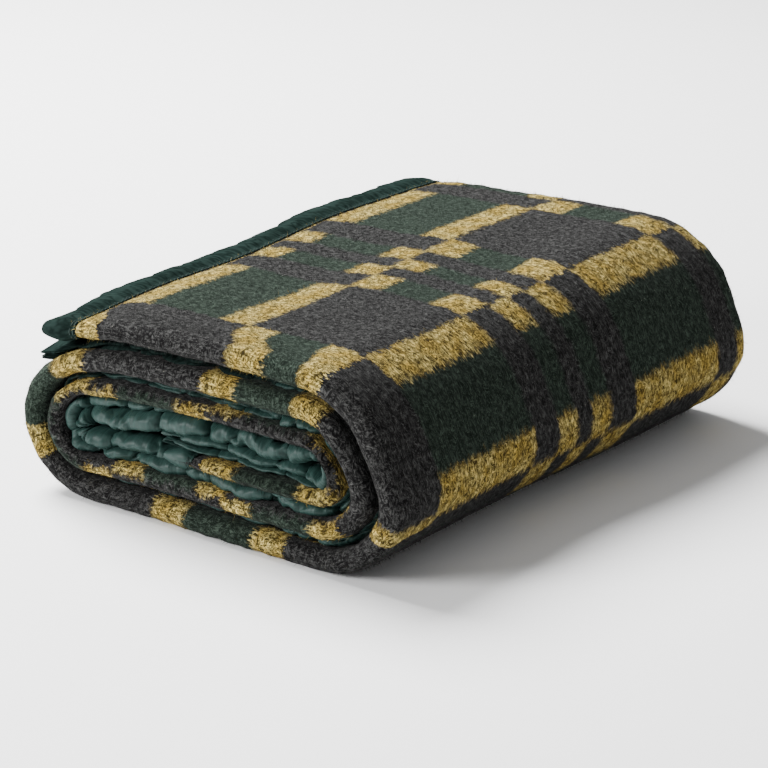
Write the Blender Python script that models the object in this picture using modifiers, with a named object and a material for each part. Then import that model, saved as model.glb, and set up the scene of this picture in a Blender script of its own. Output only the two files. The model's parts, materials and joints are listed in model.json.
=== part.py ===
"""Camp blanket: wool cloth with a nylon backing and taped edges, folded in four and rolled flat.

Every piece is cut and sewn flat, then folded and rolled by two formulas. A flat point is (u, v, w):
u runs along the blanket from the inner end to the outer end, v runs across it from edge a to edge b,
and w is the height over the seam between the two cloths, with the wool above and the nylon below.
The end of the outermost run is the flap, a separate set of pieces that lifts about a hinge line.
Lengths are in metres, +Z is up, +Y runs along the roll, and the origin is under its middle.
"""

import math

import bmesh
import bpy

# The blanket as it lies flat
BLANKET_WIDTH = 1.500
BLANKET_LENGTH = 1.620
WOOL_THICK = 0.0032
LINING_THICK = 0.0003
TAPE_THICK = 0.00025
TAPE_DEPTH = 0.028
THREAD_RADIUS = 0.00015

# How it is folded and rolled
CLEARANCE = 0.0003
FOLD_EASE = 0.0002
EDGE_A_SETBACK = 0.008
EDGE_B_SETBACK = 0.005
CORE_RADIUS = 0.0030
CORE_RUN_SHARE = 0.68
HALF_TURNS = 5
FLAP_TIP_INSET = 0.014
HINGE_FROM_BEND = 0.030
HINGE_GAP = 0.0003

# How finely the bends are faceted
BEND_STEPS = 8
FOLD_STEPS = 6

WOOL = {"name": "charcoal_wool", "color": (0.030, 0.034, 0.034), "roughness": 0.95}
LINING = {"name": "green_nylon", "color": (0.020, 0.052, 0.045), "roughness": 0.45}
TAPE = {"name": "green_tape", "color": (0.024, 0.060, 0.052), "roughness": 0.42}
THREAD = {"name": "green_thread", "color": (0.012, 0.030, 0.026), "roughness": 0.60}

# Heights of the sheets over the seam between the two cloths
WOOL_LOW = CLEARANCE / 2
WOOL_HIGH = WOOL_LOW + WOOL_THICK
LINING_HIGH = -CLEARANCE / 2
LINING_LOW = LINING_HIGH - LINING_THICK
TAPE_HIGH = WOOL_HIGH + CLEARANCE + TAPE_THICK / 2
TAPE_LOW = LINING_LOW - CLEARANCE - TAPE_THICK / 2
THREAD_HIGH = WOOL_HIGH + CLEARANCE + THREAD_RADIUS
THREAD_LOW = LINING_LOW - CLEARANCE - THREAD_RADIUS

# The stack of four plies, counted outwards from the middle of the roll
PLY = WOOL_THICK + CLEARANCE + LINING_THICK
PLY_GAP = 2 * TAPE_THICK + 3 * CLEARANCE + FOLD_EASE
STACK = 4 * PLY + 3 * PLY_GAP
PITCH = STACK + PLY_GAP
LEVEL_4 = WOOL_THICK + CLEARANCE / 2
LEVEL_1 = PLY + PLY_GAP + LINING_THICK + CLEARANCE / 2
LEVEL_2 = 2 * (PLY + PLY_GAP) + LEVEL_4
LEVEL_3 = 2 * (PLY + PLY_GAP) + LEVEL_1

# The three folds across the blanket: near (plies 2 and 3), inner far (1 and 2), outer far (3 and 4)
NEAR_RADIUS = (LEVEL_3 - LEVEL_2) / 2
INNER_RADIUS = (LEVEL_2 - LEVEL_1) / 2
OUTER_RADIUS = (LEVEL_3 - LEVEL_4) / 2
NEAR_REACH = NEAR_RADIUS + WOOL_HIGH
OUTER_REACH = OUTER_RADIUS + WOOL_HIGH
FOLD_LENGTH = math.pi * (NEAR_RADIUS + INNER_RADIUS + OUTER_RADIUS)
FOLDED_WIDTH = (
    BLANKET_WIDTH + 4 * OUTER_REACH + 2 * NEAR_REACH + EDGE_A_SETBACK + EDGE_B_SETBACK - FOLD_LENGTH
) / 4
NEAR_Y = NEAR_REACH - FOLDED_WIDTH / 2
FAR_Y = FOLDED_WIDTH / 2 - OUTER_REACH

# The flat roll: half circles about two centres, joined by straight runs
BEND_RADII = [CORE_RADIUS + k * PITCH / 2 for k in range(HALF_TURNS)]
RIGHT_REACH = BEND_RADII[-1] + STACK
LEFT_REACH = BEND_RADII[-2] + STACK
BEND_LENGTHS = [math.pi * (radius + STACK / 2) for radius in BEND_RADII]
FLAP_OVERHANG = LEFT_REACH - FLAP_TIP_INSET
RUN = (BLANKET_LENGTH - sum(BEND_LENGTHS) - FLAP_OVERHANG) / (HALF_TURNS + CORE_RUN_SHARE)
CORE_RUN = CORE_RUN_SHARE * RUN
LEFT_X = (LEFT_REACH - RIGHT_REACH - RUN) / 2
RIGHT_X = LEFT_X + RUN
RIGHT_Z = RIGHT_REACH
LEFT_Z = LEFT_REACH
HINGE_U = BLANKET_LENGTH - FLAP_OVERHANG - RUN + HINGE_FROM_BEND


def ply_lengths():
    """Lengths along v of the plies and folds, from edge a to edge b."""
    straight = FAR_Y - NEAR_Y
    return [
        FAR_Y + FOLDED_WIDTH / 2 - EDGE_A_SETBACK,
        math.pi * INNER_RADIUS,
        straight,
        math.pi * NEAR_RADIUS,
        straight,
        math.pi * OUTER_RADIUS,
        FAR_Y + FOLDED_WIDTH / 2 - EDGE_B_SETBACK,
    ]


def fold_across(v, w):
    """The place (y, n) in the folded stack of a flat point, n being the distance out from its inner face."""
    starts = running_total(ply_lengths())
    middle_far = (LEVEL_1 + LEVEL_2) / 2
    middle_near = (LEVEL_2 + LEVEL_3) / 2
    if v <= starts[1]:
        return FAR_Y - (starts[1] - v), LEVEL_1 + w
    if v < starts[2]:
        angle = (v - starts[1]) / INNER_RADIUS
        radius = INNER_RADIUS - w
        return FAR_Y + radius * math.sin(angle), middle_far - radius * math.cos(angle)
    if v <= starts[3]:
        return FAR_Y - (v - starts[2]), LEVEL_2 - w
    if v < starts[4]:
        angle = (v - starts[3]) / NEAR_RADIUS
        radius = NEAR_RADIUS + w
        return NEAR_Y - radius * math.sin(angle), middle_near - radius * math.cos(angle)
    if v <= starts[5]:
        return NEAR_Y + (v - starts[4]), LEVEL_3 + w
    if v < starts[6]:
        angle = (v - starts[5]) / OUTER_RADIUS
        radius = OUTER_RADIUS + w
        return FAR_Y + radius * math.sin(angle), middle_far + radius * math.cos(angle)
    return FAR_Y - (v - starts[6]), LEVEL_4 - w


def roll_up(u, n):
    """The place (x, z) in the roll of a point n outside the stack's inner face, u along its middle."""
    place = u - CORE_RUN
    if place <= 0:
        return RIGHT_X + place, RIGHT_Z - CORE_RADIUS - n
    for k, radius in enumerate(BEND_RADII):
        on_right = k % 2 == 0
        centre_x, centre_z = (RIGHT_X, RIGHT_Z) if on_right else (LEFT_X, LEFT_Z)
        side = 1 if on_right else -1
        if place < BEND_LENGTHS[k]:
            angle = math.pi * place / BEND_LENGTHS[k]
            reach = radius + n
            return centre_x + side * reach * math.sin(angle), centre_z - side * reach * math.cos(angle)
        place -= BEND_LENGTHS[k]
        if place <= RUN or k == HALF_TURNS - 1:
            return centre_x - side * place, centre_z + side * (radius + n)
        place -= RUN
    return None


def fold_and_roll(point):
    """Carries a flat point to its place in the rolled blanket."""
    u, v, w = point
    y, n = fold_across(v, w)
    x, z = roll_up(u, n)
    return x, y, z


def running_total(lengths):
    totals = [0.0]
    for length in lengths:
        totals.append(totals[-1] + length)
    return totals


def stations(lengths, steps, low, high):
    """Places from low to high where a flat piece is cut, fine where it will bend."""
    found = [low]
    start = 0.0
    for length, count in zip(lengths, steps):
        found += [start + length * i / count for i in range(count + 1)]
        start += length
    found.append(high)
    least = CLEARANCE / 3
    kept = [low]
    for place in sorted(found):
        if kept[-1] + least < place < high - least:
            kept.append(place)
    return kept + [high]


def along(low, high):
    """Stations along the blanket, where the roll bends."""
    lengths = [CORE_RUN]
    steps = [1]
    for bend in BEND_LENGTHS:
        lengths += [bend, RUN]
        steps += [BEND_STEPS, 1]
    return stations(lengths[:-1], steps[:-1], low, high)


def across(low, high):
    """Stations across the blanket, where it is folded."""
    return stations(ply_lengths(), [1, FOLD_STEPS] * 3 + [1], low, high)


def make_material(finish):
    material = bpy.data.materials.get(finish["name"]) or bpy.data.materials.new(finish["name"])
    material.use_nodes = True
    shader = material.node_tree.nodes["Principled BSDF"]
    shader.inputs["Base Color"].default_value = (*finish["color"], 1.0)
    shader.inputs["Roughness"].default_value = finish["roughness"]
    material.diffuse_color = (*finish["color"], 1.0)
    return material


def flat_grid(name, rows, columns, place):
    """An open flat sheet: a grid whose vertex in row i, column j goes to place(rows[i], columns[j])."""
    mesh = bpy.data.meshes.new(name)
    bm = bmesh.new()
    last_row, last_column = len(rows) - 1, len(columns) - 1
    bmesh.ops.create_grid(bm, x_segments=last_row, y_segments=last_column, size=0.5)
    for vertex in bm.verts:
        i = round((vertex.co.x + 0.5) * last_row)
        j = round((vertex.co.y + 0.5) * last_column)
        vertex.co = place(rows[i], columns[j])
    bmesh.ops.recalc_face_normals(bm, faces=bm.faces)
    bm.to_mesh(mesh)
    bm.free()
    return mesh


def thickened(name, mesh, thick):
    """The flat sheet given its thickness, half to each side, as a plain closed mesh."""
    flat = bpy.data.objects.new(name + "_flat", mesh)
    bpy.context.scene.collection.objects.link(flat)
    solid = flat.modifiers.new("thickness", "SOLIDIFY")
    solid.thickness = thick
    solid.offset = 0.0
    solid.use_even_offset = True
    bpy.context.view_layer.update()
    closed = bpy.data.meshes.new_from_object(flat.evaluated_get(bpy.context.evaluated_depsgraph_get()))
    bpy.data.objects.remove(flat)
    closed.name = name
    return closed


def sewn_piece(name, mesh, finish, collection):
    """Folds and rolls a closed flat mesh and makes it a named object."""
    for vertex in mesh.vertices:
        vertex.co = fold_and_roll(vertex.co)
    bm = bmesh.new()
    bm.from_mesh(mesh)
    bmesh.ops.recalc_face_normals(bm, faces=bm.faces)
    bm.to_mesh(mesh)
    bm.free()
    mesh.materials.clear()
    mesh.materials.append(make_material(finish))
    mesh.shade_smooth()
    mesh.set_sharp_from_angle(angle=math.radians(35))
    piece = bpy.data.objects.new(name, mesh)
    collection.objects.link(piece)
    return piece


def cloth(name, start, end, low, high, finish, collection):
    """A full-width cloth between two places along the blanket, from height low to high."""
    middle = (low + high) / 2
    sheet = flat_grid(name, along(start, end), across(0.0, BLANKET_WIDTH), lambda u, v: (u, v, middle))
    return sewn_piece(name, thickened(name, sheet, high - low), finish, collection)


def tape_section(edge, inward):
    """The tape's section as (distance along the cloth, height): up one face, round the edge, down the other."""
    inner = edge + inward * TAPE_DEPTH
    outer = edge - inward * (CLEARANCE + TAPE_THICK / 2)
    return [(inner, TAPE_HIGH), (outer, TAPE_HIGH), (outer, TAPE_LOW), (inner, TAPE_LOW)]


def side_tape(name, edge, inward, start, end, finish, collection):
    """A tape that wraps a long edge of the blanket."""
    section = tape_section(edge, inward)
    sheet = flat_grid(name, along(start, end), section, lambda u, place: (u, place[0], place[1]))
    return sewn_piece(name, thickened(name, sheet, TAPE_THICK), finish, collection)


def end_tape(name, edge, inward, finish, collection):
    """A tape that wraps an end of the blanket over its whole folded width."""
    section = tape_section(edge, inward)
    sheet = flat_grid(name, across(0.0, BLANKET_WIDTH), section, lambda v, place: (place[0], v, place[1]))
    return sewn_piece(name, thickened(name, sheet, TAPE_THICK), finish, collection)


def thread(name, flat_points, finish, collection):
    """A sewing thread through flat points, carried to its place in the roll."""
    curve = bpy.data.curves.new(name, "CURVE")
    curve.dimensions = "3D"
    curve.bevel_depth = THREAD_RADIUS
    curve.bevel_resolution = 0
    curve.use_fill_caps = True
    spline = curve.splines.new("POLY")
    spline.points.add(len(flat_points) - 1)
    for target, point in zip(spline.points, flat_points):
        target.co = (*fold_and_roll(point), 1.0)
    curve.materials.append(make_material(finish))
    row = bpy.data.objects.new(name, curve)
    collection.objects.link(row)
    return row


def clear_scene():
    for old in list(bpy.data.objects):
        bpy.data.objects.remove(old)


def build():
    clear_scene()
    blanket = bpy.data.collections.new("camp_blanket")
    bpy.context.scene.collection.children.link(blanket)

    tape_stop = TAPE_DEPTH + CLEARANCE
    roll_end = HINGE_U - HINGE_GAP / 2
    flap_start = HINGE_U + HINGE_GAP / 2
    stretches = [
        ("", 0.0, roll_end, tape_stop, roll_end),
        ("_flap", flap_start, BLANKET_LENGTH, flap_start, BLANKET_LENGTH - tape_stop),
    ]
    edges = [("a", 0.0, 1), ("b", BLANKET_WIDTH, -1)]
    faces = [("top", THREAD_HIGH), ("under", THREAD_LOW)]

    for suffix, cloth_start, cloth_end, tape_start, tape_end in stretches:
        cloth("wool_face" + suffix, cloth_start, cloth_end, WOOL_LOW, WOOL_HIGH, WOOL, blanket)
        cloth("nylon_backing" + suffix, cloth_start, cloth_end, LINING_LOW, LINING_HIGH, LINING, blanket)
        for letter, edge, inward in edges:
            side_tape(f"edge_tape_{letter}{suffix}", edge, inward, tape_start, tape_end, TAPE, blanket)
            seam = edge + inward * (tape_stop + THREAD_RADIUS)
            for face, height in faces:
                route = [(u, seam, height) for u in along(tape_start, tape_end)]
                thread(f"edge_thread_{letter}_{face}{suffix}", route, THREAD, blanket)

    for label, edge, inward in [("inner_end", 0.0, 1), ("outer_end", BLANKET_LENGTH, -1)]:
        end_tape(label + "_tape", edge, inward, TAPE, blanket)
        seam = edge + inward * (tape_stop + THREAD_RADIUS)
        margin = tape_stop + 2 * THREAD_RADIUS + CLEARANCE
        for face, height in faces:
            route = [(seam, v, height) for v in across(margin, BLANKET_WIDTH - margin)]
            thread(f"{label}_thread_{face}", route, THREAD, blanket)


build()
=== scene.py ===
import json
import math

import bpy
import numpy as np
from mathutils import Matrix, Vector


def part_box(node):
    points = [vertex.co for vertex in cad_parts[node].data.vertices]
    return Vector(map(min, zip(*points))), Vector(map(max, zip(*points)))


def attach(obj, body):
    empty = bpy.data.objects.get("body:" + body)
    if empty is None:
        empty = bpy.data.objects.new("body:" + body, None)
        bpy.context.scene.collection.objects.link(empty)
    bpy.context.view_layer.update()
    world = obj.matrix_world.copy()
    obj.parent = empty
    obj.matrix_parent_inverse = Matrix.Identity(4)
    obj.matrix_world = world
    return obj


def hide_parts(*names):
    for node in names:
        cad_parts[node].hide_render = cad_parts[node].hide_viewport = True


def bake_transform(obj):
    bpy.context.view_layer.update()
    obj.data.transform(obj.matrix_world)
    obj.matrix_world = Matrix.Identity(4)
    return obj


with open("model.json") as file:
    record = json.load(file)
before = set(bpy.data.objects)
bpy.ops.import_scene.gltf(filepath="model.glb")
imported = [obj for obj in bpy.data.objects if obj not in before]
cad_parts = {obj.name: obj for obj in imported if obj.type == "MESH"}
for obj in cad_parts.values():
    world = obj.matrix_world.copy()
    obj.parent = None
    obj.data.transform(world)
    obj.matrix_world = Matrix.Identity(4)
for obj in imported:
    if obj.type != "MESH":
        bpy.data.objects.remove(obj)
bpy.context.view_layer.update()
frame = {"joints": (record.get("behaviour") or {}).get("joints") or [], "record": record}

mm = 0.001

# camera, floor and light

studio = {
    "azimuth": 37.53, "elevation": 19.24,    # degrees, round the roll and above the floor
    "lens": 119.4,                           # mm, on a 36 mm sensor
    "cameraPlace": (0.9394, -1.2369, 0.5879),
    "floorSide": 24.0,
    "floorColour": (0.92, 0.92, 0.92, 1.0), "floorRoughness": 0.7,
    "worldColour": (1.0, 1.0, 1.0, 1.0), "worldStrength": 0.40,
    "keyPower": 300.0, "keyPlace": (-1.6, 0.3, 2.0), "keySide": 1.5,
    "fillPower": 135.0, "fillPlace": (-1.4, -2.4, 1.2), "fillSide": 1.2,
    "aim": (0.0, 0.0, 0.06),                 # both lights point here
}


def addCamera(values):
    azimuth, elevation = math.radians(values["azimuth"]), math.radians(values["elevation"])
    camera = bpy.data.objects.new("camera", bpy.data.cameras.new("camera"))
    camera.data.lens = values["lens"]
    camera.data.sensor_width = 36.0
    camera.data.clip_end = 60.0
    camera.location = values["cameraPlace"]
    camera.rotation_euler = (math.pi / 2 - elevation, 0.0, azimuth)
    bpy.context.scene.collection.objects.link(camera)
    bpy.context.scene.camera = camera


def addArea(name, place, side, power, aim):
    light = bpy.data.objects.new(name, bpy.data.lights.new(name, "AREA"))
    light.data.shape = "DISK"
    light.data.size = side
    light.data.energy = power
    light.location = place
    away = np.array(place) - np.array(aim)
    tilt = math.atan2(math.hypot(away[0], away[1]), away[2])
    light.rotation_euler = (tilt, 0.0, math.atan2(away[1], away[0]) + math.pi / 2)
    bpy.context.scene.collection.objects.link(light)


def addStudio(values):
    world = bpy.data.worlds.new("studio")
    world.use_nodes = True
    backdrop = world.node_tree.nodes["Background"]
    backdrop.inputs["Color"].default_value = values["worldColour"]
    backdrop.inputs["Strength"].default_value = values["worldStrength"]
    bpy.context.scene.world = world
    for kind in ("key", "fill"):
        place, side, power = (values[kind + part] for part in ("Place", "Side", "Power"))
        addArea(kind + "Light", place, side, power, values["aim"])
    half = values["floorSide"] / 2
    mesh = bpy.data.meshes.new("floor")
    corners = [(-half, -half, 0), (half, -half, 0), (half, half, 0), (-half, half, 0)]
    mesh.from_pydata(corners, [], [(0, 1, 2, 3)])
    floor = bpy.data.objects.new("floor", mesh)
    paint = bpy.data.materials.new("paleFloor")
    paint.use_nodes = True
    shader = paint.node_tree.nodes["Principled BSDF"]
    shader.inputs["Base Color"].default_value = values["floorColour"]
    shader.inputs["Roughness"].default_value = values["floorRoughness"]
    mesh.materials.append(paint)
    bpy.context.scene.collection.objects.link(floor)


addCamera(studio)
addStudio(studio)
print("studio: camera, floor and two lights")

# the blanket, as it is cut, folded in four and rolled

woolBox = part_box("wool_face")
woolLow, woolHigh = np.array(woolBox[0]), np.array(woolBox[1])
hinge = np.array(frame["joints"][0]["pos_m"])

cloth = {
    "width": 1.500,          # from edge a to edge b
    "length": 1.620,         # from the inner end to the free end
    "woolThick": 3.2 * mm,
    "nylonThick": 0.3 * mm,
    "slack": 0.15 * mm,      # between the seam plane and each cloth
    "tapeDepth": 28 * mm,
}
roll = {
    "stack": 20.0 * mm,      # four plies
    "pitch": 21.6 * mm,      # from one turn to the next
    "coreRadius": 3.0 * mm,
    "coreShare": 0.68,       # how much of a run the innermost one fills
    "halfTurns": 5,
}
# seam plane of each ply, as a distance out from the inner face of the stack
level = {1: 5.85 * mm, 2: 14.15 * mm, 3: 16.65 * mm, 4: 3.35 * mm}
woolTop = cloth["slack"] + cloth["woolThick"]
clothMiddle = (woolTop - cloth["slack"] - cloth["nylonThick"]) / 2

rightReach = woolHigh[2] / 2
leftReach = rightReach - roll["pitch"] / 2
rightX, rightZ = woolHigh[0] - rightReach, rightReach
leftX, leftZ = woolLow[0] + leftReach, leftReach
run = rightX - leftX
bendRadii = [roll["coreRadius"] + k * roll["pitch"] / 2 for k in range(roll["halfTurns"])]
bendLengths = [math.pi * (radius + roll["stack"] / 2) for radius in bendRadii]
coreRun = roll["coreShare"] * run
bendStarts = [coreRun + sum(bendLengths[:k]) + k * run for k in range(roll["halfTurns"])]
hingeU = bendStarts[-1] + bendLengths[-1] + rightX - hinge[0]

frontY, backY = woolLow[1], woolHigh[1]
outerFold = 6.65 * mm        # seam plane radii of the two far folds
innerFold = 4.15 * mm
plainFold = 1.25 * mm
outerReach = outerFold + woolTop
setbacks = (8.0 * mm, 5.0 * mm)
foldedWidth = backY - frontY
straight = foldedWidth - outerReach - plainFold - woolTop
plyLengths = [
    foldedWidth - outerReach - setbacks[0], math.pi * innerFold, straight, math.pi * plainFold,
    straight, math.pi * outerFold, foldedWidth - outerReach - setbacks[1]]
plyStarts = np.concatenate([[0.0], np.cumsum(plyLengths)])
foldMiddle = (plyStarts[3] + plyStarts[4]) / 2

# How the end face looks at places along the roll, from its core to the free end, in mm: the thickness of
# the wool fold, then for the bound edges a and b how far out from the stack's inner face they lie, how
# thick they puff, and how far back from the fold they stay.
bends = [start + length / 2 for start, length in zip(bendStarts, bendLengths)]
runStarts = [start + length for start, length in zip(bendStarts, bendLengths)]
endFace = {
    "columns": ("place", "fold", "outA", "puffA", "backA", "outB", "puffB", "backB"),
    "rows": [
        (0.0, 9.0, 7.5, 2.2, 2.5, 1.5, 3.2, 1.0),
        (0.75 * coreRun, 9.0, 8.0, 2.0, 3.0, 1.5, 3.4, 0.5),
        (bends[0], 9.5, 11.0, 1.6, 4.0, 8.5, 4.0, 0.0),
        (runStarts[0] + 0.20 * run, 9.5, 10.0, 1.8, 5.0, 1.0, 6.4, 0.0),
        (runStarts[0] + 0.55 * run, 10.0, 9.0, 2.2, 5.0, -0.2, 6.4, 0.0),
        (runStarts[0] + 0.85 * run, 10.0, 4.5, 4.2, 3.0, -6.5, 6.0, 0.0),
        (bends[1], 10.5, 4.0, 5.0, 1.5, -7.0, 6.0, 0.0),
        (runStarts[1] + 0.15 * run, 12.5, 3.5, 4.4, 2.0, -6.0, 5.8, 0.5),
        (runStarts[1] + 0.42 * run, 13.0, 3.0, 5.2, 0.5, -1.0, 3.4, 3.0),
        (runStarts[1] + 0.80 * run, 13.5, 3.0, 5.4, 0.5, -1.0, 2.6, 3.5),
        (bends[2], 14.5, 2.2, 2.0, 7.0, -1.0, 2.0, 7.0),
        (runStarts[2] + 0.12 * run, 14.5, 1.0, 3.8, 1.0, -1.0, 2.4, 3.0),
        (runStarts[2] + 0.28 * run, 15.5, 1.8, 2.0, 5.5, -1.2, 2.2, 5.0),
        (bends[3], 16.0, 1.4, 1.8, 8.0, -1.2, 1.8, 8.0),
        (runStarts[3] + 0.50 * run, 16.0, 1.6, 2.2, 5.5, -1.2, 2.2, 4.5),
        (runStarts[3] + 0.78 * run, 15.5, 1.6, 2.2, 5.5, -1.2, 2.2, 4.5),
        (runStarts[3] + 0.93 * run, 14.5, 1.0, 3.8, 1.5, -1.0, 2.6, 3.0),
        (bends[4], 16.5, 1.2, 1.6, 10.0, -1.4, 1.6, 10.0),
        (runStarts[4] + 0.5 * run, 16.0, 1.6, 2.2, 6.5, -1.2, 2.2, 6.0),
        (cloth["length"], 13.0, 1.8, 1.6, 3.0, -2.0, 1.6, 3.0),
    ],
}
folds = {
    "wander": 0.7 * mm, "wanderOver": 70 * mm,    # the front fold, in and out along the roll
    "uneven": 1.5 * mm,       # how far the bound edges wander in and out, in waves about this long:
    "unevenOutA": 19 * mm, "unevenOutB": 21 * mm, "unevenBackA": 17 * mm, "unevenBackB": 18 * mm,
    "levelOver": 34 * mm,     # from the front fold to where the second ply is at its own level
    "edgeOver": 50 * mm,      # from a bound edge to where it no longer pulls on its ply
    "edgeBack": 4 * mm,       # how far every bound edge stays behind the front fold
    "tipOver": 55 * mm,       # the plies close up over this much of the free end, by this much:
    "tipDropA": 8 * mm, "tipDropB": 9 * mm, "tipDropFold": 4 * mm,
}


def along(key, u):       # a value of the end face at u, eased between its places
    table = np.array(endFace["rows"])
    places = table[:, 0]
    values = table[:, endFace["columns"].index(key)] * mm
    at = np.clip(np.searchsorted(places, u) - 1, 0, len(places) - 2)
    share = np.clip((u - places[at]) / (places[at + 1] - places[at]), 0.0, 1.0)
    return values[at] + (values[at + 1] - values[at]) * ease(share)


def ease(share):         # 0 before 0, 1 after 1, smooth between
    share = np.clip(share, 0.0, 1.0)
    return share * share * (3 - 2 * share)


def ripple(a, b, size, seed):      # a smooth random height from -1 to 1 with bumps about one size across
    random = np.random.default_rng(seed)
    total = 0.0
    for _ in range(6):
        turn, phase = random.uniform(0, 2 * math.pi, 2)
        stretch = random.uniform(0.7, 1.5) * math.pi / size
        total = total + np.sin(stretch * (a * math.cos(turn) + b * math.sin(turn)) + phase)
    return total / 3.4


def foldAcross(u, v):
    # Four plies across the blanket: y runs from the front fold to the far folds, n out through the stack.
    # A ply is straight, and a fold is a half circle. The near fold opens to its own radius at each u.
    half = along("fold", u) / 2 - woolTop
    front = frontY + folds["wander"] + folds["wander"] * ripple(u, 0 * u, folds["wanderOver"], 3)
    noseY = front + half + woolTop
    nearStart, nearEnd = foldMiddle - math.pi * half / 2, foldMiddle + math.pi * half / 2
    farTwo = noseY + nearStart - plyStarts[2]
    farThree = noseY + plyStarts[5] - nearEnd
    tip = ease((u - cloth["length"] + folds["tipOver"]) / folds["tipOver"])
    tipDrop = folds["tipDropFold"] * tip
    nearTurn = (v - nearStart) / half
    innerTurn = (v - plyStarts[1]) / innerFold
    outerTurn = (v - plyStarts[5]) / outerFold
    rise = level[2] - level[3] + 2 * half
    levelTwo = level[3] - 2 * half + rise * ease((nearStart - v) / folds["levelOver"])
    edgeA, edgeB = ease(1 - v / folds["edgeOver"]), ease(1 - (cloth["width"] - v) / folds["edgeOver"])
    uneven = folds["uneven"]
    outOne = along("outA", u) + 0.5 * uneven * ripple(u, 0 * u, folds["unevenOutA"], 5)
    outFour = along("outB", u) + 0.5 * uneven * ripple(u, 0 * u, folds["unevenOutB"], 6)
    levelOne = level[1] + (outOne - clothMiddle - level[1]) * edgeA - folds["tipDropA"] * tip
    levelFour = level[4] + (outFour + clothMiddle - level[4]) * edgeB - folds["tipDropB"] * tip
    endOne = front + along("backA", u) + folds["edgeBack"]
    endOne = endOne + uneven * ripple(u, 0 * u, folds["unevenBackA"], 7)
    endFour = front + along("backB", u) + folds["edgeBack"]
    endFour = endFour + uneven * ripple(u, 0 * u, folds["unevenBackB"], 8)
    yOne = farTwo - (plyStarts[1] - v)
    yOne = yOne + (endOne - farTwo + plyStarts[1]) * edgeA
    yFour = farThree - (v - plyStarts[6])
    yFour = yFour + (endFour - farThree + cloth["width"] - plyStarts[6]) * edgeB
    where = [
        v <= plyStarts[1], v < plyStarts[2], v <= nearStart,
        v < nearEnd, v <= plyStarts[5], v < plyStarts[6]]
    y = np.select(where, [
        yOne, farTwo + innerFold * np.sin(innerTurn), noseY + nearStart - v, noseY - half * np.sin(nearTurn),
        noseY + v - nearEnd, farThree + outerFold * np.sin(outerTurn)], yFour)
    middleInner, middleOuter = (level[1] + level[2]) / 2, (level[3] + level[4]) / 2
    n = np.select(where, [
        levelOne, middleInner - innerFold * np.cos(innerTurn) - tipDrop, levelTwo,
        level[3] - half - half * np.cos(nearTurn), level[3] + 0 * v,
        middleOuter + outerFold * np.cos(outerTurn) - tipDrop * ease(outerTurn / math.pi)], levelFour)
    return y, n


def rollUp(u, n):
    # A belt round two centres: straight runs joined by half circles, each half turn half a pitch wider.
    x, z = rightX + u - coreRun, rightZ - roll["coreRadius"] - n
    for k, radius in enumerate(bendRadii):
        side = 1 - 2 * (k % 2)
        centreX, centreZ = (rightX, rightZ) if side > 0 else (leftX, leftZ)
        turn = math.pi * (u - bendStarts[k]) / bendLengths[k]
        inBend, inRun = u >= bendStarts[k], u >= runStarts[k]
        x = np.where(inBend, centreX + side * (radius + n) * np.sin(turn), x)
        z = np.where(inBend, centreZ - side * (radius + n) * np.cos(turn), z)
        x = np.where(inRun, centreX - side * (u - runStarts[k]), x)
        z = np.where(inRun, centreZ + side * (radius + n), z)
    return x, z


settled = {
    "height": 0.950,          # how far the roll's own weight presses it down
    "rightFrom": 0.020, "rightOver": 0.100,       # where the right side begins
    "middleDrop": 0.016, "middleOver": 0.060,
    "leftDrop": 0.100, "leftFrom": -0.060, "leftOver": 0.090,
    "leftFades": 0.6, "fadesFrom": -0.20, "fadesOver": 0.14,      # the left drops less away from the near end
    "shoulder": 11 * mm, "shoulderFrom": 0.045, "shoulderOver": 0.045,
    "sideIn": 5 * mm,
    "farUp": 7 * mm, "farOut": 7 * mm, "farFrom": -0.05, "farOver": 0.15,      # the far end is looser
    "farUpOver": 0.11,
    "upperOver": 0.05,        # height over which the roll starts to sway
    "sway": 1.3 * mm, "swayOver": 75 * mm, "lean": 0.8 * mm, "leanOver": 60 * mm,
    "endDip": 0.8 * mm,
}


def settle(x, y, z):
    # Under its weight the roll is lower at the free end, and the outer bend's shoulder sinks inwards.
    right = ease((x - settled["rightFrom"]) / settled["rightOver"])
    shoulder = settled["shoulder"] * ease((z - settled["shoulderFrom"]) / settled["shoulderOver"])
    low = settled["height"] - settled["middleDrop"] * ease((settled["rightFrom"] - x) / settled["middleOver"])
    near = 1 - settled["leftFades"] * ease((y - settled["fadesFrom"]) / settled["fadesOver"])
    low = low - settled["leftDrop"] * near * ease((settled["leftFrom"] - x) / settled["leftOver"])
    upper = ease(z / settled["upperOver"])
    far = ease((y - settled["farFrom"]) / settled["farOver"])
    sway = settled["sway"] * ripple(x, y, settled["swayOver"], 11) * upper
    sway = sway + settled["farUp"] * far * ease(z / settled["farUpOver"])
    x = x - (settled["sideIn"] + shoulder - settled["farOut"] * far) * right
    x = x + settled["lean"] * ripple(z, y, settled["leanOver"], 12) * upper
    return x, y, z * low + sway - settled["endDip"] * (y / backY) ** 4 * upper


def place(u, v, w):
    # A flat point, u along the blanket, v across it and w above the seam plane, is folded, rolled and
    # settled. The way up at a point is at right angles to the folded line through its two neighbours.
    u, v, w = np.broadcast_arrays(u, v, w)
    step = 0.1 * mm
    y, n = foldAcross(u, v)
    beforeY, beforeN = foldAcross(u, v - step)
    afterY, afterN = foldAcross(u, v + step)
    alongY, alongN = afterY - beforeY, afterN - beforeN
    size = np.hypot(alongY, alongN)
    y, n = y - w * alongN / size, n + w * alongY / size
    x, z = rollUp(u, n)
    return np.stack(settle(x, y, z), axis=-1)


# meshes from grids


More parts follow.
